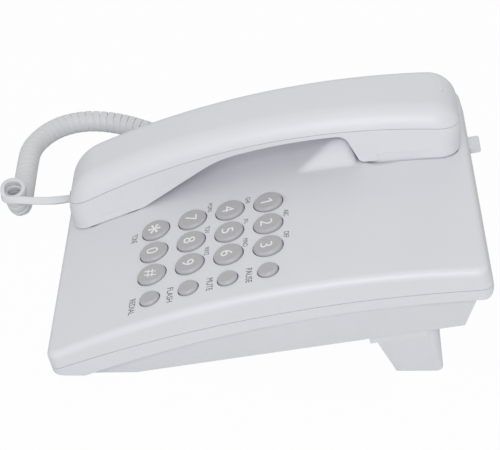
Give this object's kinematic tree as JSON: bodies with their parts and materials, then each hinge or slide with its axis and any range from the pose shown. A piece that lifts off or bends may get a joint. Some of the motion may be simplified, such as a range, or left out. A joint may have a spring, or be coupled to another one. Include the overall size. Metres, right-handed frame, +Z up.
{
  "type": "corded landline phone",
  "caption": "Sloping desk telephone base with round keys, a handset in two wells and a curly cord.",
  "frame": {"origin": "on the desk under the middle of the phone, cord left out", "axes": "+X to the user's right, +Y to the phone's rear, +Z up from the desk"},
  "size_m": [0.2181, 0.2422, 0.0901],
  "materials": {
    "white_plastic": "fine moulded satin",
    "key_plastic": "satin",
    "rubber": "moulded silicone rubber",
    "foam": "cut foam",
    "board": "laminate",
    "zinc_steel": "zinc plated",
    "black_plastic": "moulded",
    "aluminium_can": "drawn",
    "clear_plastic": "moulded clear",
    "cord_sheath": "extruded satin"
  },
  "bodies": {
    "base": {"ballast_plate": "zinc_steel", "base_handset_jack": "black_plastic", "base_lead": "cord_sheath", "base_plug": "clear_plastic", "board_components": "black_plastic", "case_screws": "zinc_steel", "curly_cord": "cord_sheath", "desk_stand": "white_plastic", "front_feet": "rubber", "handset_lead": "cord_sheath", "hook_switch": "black_plastic", "keypad_board": "board", "keypad_membrane": "rubber", "keypad_screws": "zinc_steel", "line_jack": "black_plastic", "lower_cabinet": "white_plastic", "main_board": "board", "main_board_screws": "zinc_steel", "ringer": "black_plastic", "ringer_switch_body": "black_plastic", "stand_feet": "rubber", "upper_cabinet": "white_plastic"},
    "handset": {"handset_inner_shell": "white_plastic", "handset_jack": "black_plastic", "handset_outer_shell": "white_plastic", "handset_plug": "clear_plastic", "handset_screws": "zinc_steel", "handset_weight": "zinc_steel", "receiver_capsule": "black_plastic", "receiver_gasket": "foam", "microphone_capsule": "aluminium_can", "microphone_boot": "rubber"},
    "hook": {"hook_plunger": "white_plastic"},
    "ringer_knob": {"ringer_switch_knob": "white_plastic"},
    "key_0_body": {"key_0": "key_plastic"},
    "key_1_body": {"key_1": "key_plastic"},
    "key_2_body": {"key_2": "key_plastic"},
    "key_3_body": {"key_3": "key_plastic"},
    "key_4_body": {"key_4": "key_plastic"},
    "key_5_body": {"key_5": "key_plastic"},
    "key_6_body": {"key_6": "key_plastic"},
    "key_7_body": {"key_7": "key_plastic"},
    "key_8_body": {"key_8": "key_plastic"},
    "key_9_body": {"key_9": "key_plastic"},
    "key_flash_body": {"key_flash": "key_plastic"},
    "key_hash_body": {"key_hash": "key_plastic"},
    "key_mute_body": {"key_mute": "key_plastic"},
    "key_pause_body": {"key_pause": "key_plastic"},
    "key_redial_body": {"key_redial": "key_plastic"},
    "key_star_body": {"key_star": "key_plastic"}
  },
  "joints": [
    {"name": "handset_lift", "type": "slide", "parent": "base", "child": "handset", "axis": [0, -0.1994, 0.9799], "range_m": [0, 0.07], "deforming": ["curly_cord", "handset_lead", "base_lead"]},
    {"name": "hook_rise", "type": "slide", "parent": "base", "child": "hook", "axis": [0, -0.0964, 0.9953], "range_m": [0, 0.004], "stiffness_N_per_m": 20, "springref_m": 0.008},
    {"name": "ringer_slide", "type": "slide", "parent": "base", "child": "ringer_knob", "axis": [1, 0, 0], "range_m": [-0.002, 0.002]},
    {"name": "key_0_press", "type": "slide", "parent": "base", "child": "key_0_body", "axis": [0, 0.3078, -0.9515], "range_m": [0, 0.0016], "stiffness_N_per_m": 400, "springref_m": -0.0008},
    {"name": "key_1_press", "type": "slide", "parent": "base", "child": "key_1_body", "axis": [0, 0.3078, -0.9515], "range_m": [0, 0.0016], "stiffness_N_per_m": 400, "springref_m": -0.0008},
    {"name": "key_2_press", "type": "slide", "parent": "base", "child": "key_2_body", "axis": [0, 0.3078, -0.9515], "range_m": [0, 0.0016], "stiffness_N_per_m": 400, "springref_m": -0.0008},
    {"name": "key_3_press", "type": "slide", "parent": "base", "child": "key_3_body", "axis": [0, 0.3078, -0.9515], "range_m": [0, 0.0016], "stiffness_N_per_m": 400, "springref_m": -0.0008},
    {"name": "key_4_press", "type": "slide", "parent": "base", "child": "key_4_body", "axis": [0, 0.3078, -0.9515], "range_m": [0, 0.0016], "stiffness_N_per_m": 400, "springref_m": -0.0008},
    {"name": "key_5_press", "type": "slide", "parent": "base", "child": "key_5_body", "axis": [0, 0.3078, -0.9515], "range_m": [0, 0.0016], "stiffness_N_per_m": 400, "springref_m": -0.0008},
    {"name": "key_6_press", "type": "slide", "parent": "base", "child": "key_6_body", "axis": [0, 0.3078, -0.9515], "range_m": [0, 0.0016], "stiffness_N_per_m": 400, "springref_m": -0.0008},
    {"name": "key_7_press", "type": "slide", "parent": "base", "child": "key_7_body", "axis": [0, 0.3078, -0.9515], "range_m": [0, 0.0016], "stiffness_N_per_m": 400, "springref_m": -0.0008},
    {"name": "key_8_press", "type": "slide", "parent": "base", "child": "key_8_body", "axis": [0, 0.3078, -0.9515], "range_m": [0, 0.0016], "stiffness_N_per_m": 400, "springref_m": -0.0008},
    {"name": "key_9_press", "type": "slide", "parent": "base", "child": "key_9_body", "axis": [0, 0.3078, -0.9515], "range_m": [0, 0.0016], "stiffness_N_per_m": 400, "springref_m": -0.0008},
    {"name": "key_flash_press", "type": "slide", "parent": "base", "child": "key_flash_body", "axis": [0, 0.3078, -0.9515], "range_m": [0, 0.0016], "stiffness_N_per_m": 400, "springref_m": -0.0008},
    {"name": "key_hash_press", "type": "slide", "parent": "base", "child": "key_hash_body", "axis": [0, 0.3078, -0.9515], "range_m": [0, 0.0016], "stiffness_N_per_m": 400, "springref_m": -0.0008},
    {"name": "key_mute_press", "type": "slide", "parent": "base", "child": "key_mute_body", "axis": [0, 0.3078, -0.9515], "range_m": [0, 0.0016], "stiffness_N_per_m": 400, "springref_m": -0.0008},
    {"name": "key_pause_press", "type": "slide", "parent": "base", "child": "key_pause_body", "axis": [0, 0.3078, -0.9515], "range_m": [0, 0.0016], "stiffness_N_per_m": 400, "springref_m": -0.0008},
    {"name": "key_redial_press", "type": "slide", "parent": "base", "child": "key_redial_body", "axis": [0, 0.3078, -0.9515], "range_m": [0, 0.0016], "stiffness_N_per_m": 400, "springref_m": -0.0008},
    {"name": "key_star_press", "type": "slide", "parent": "base", "child": "key_star_body", "axis": [0, 0.3078, -0.9515], "range_m": [0, 0.0016], "stiffness_N_per_m": 400, "springref_m": -0.0008}
  ],
  "couplings": [
    {"joint": "hook_rise", "follows": "handset_lift", "ratio": 0.057143}
  ]
}
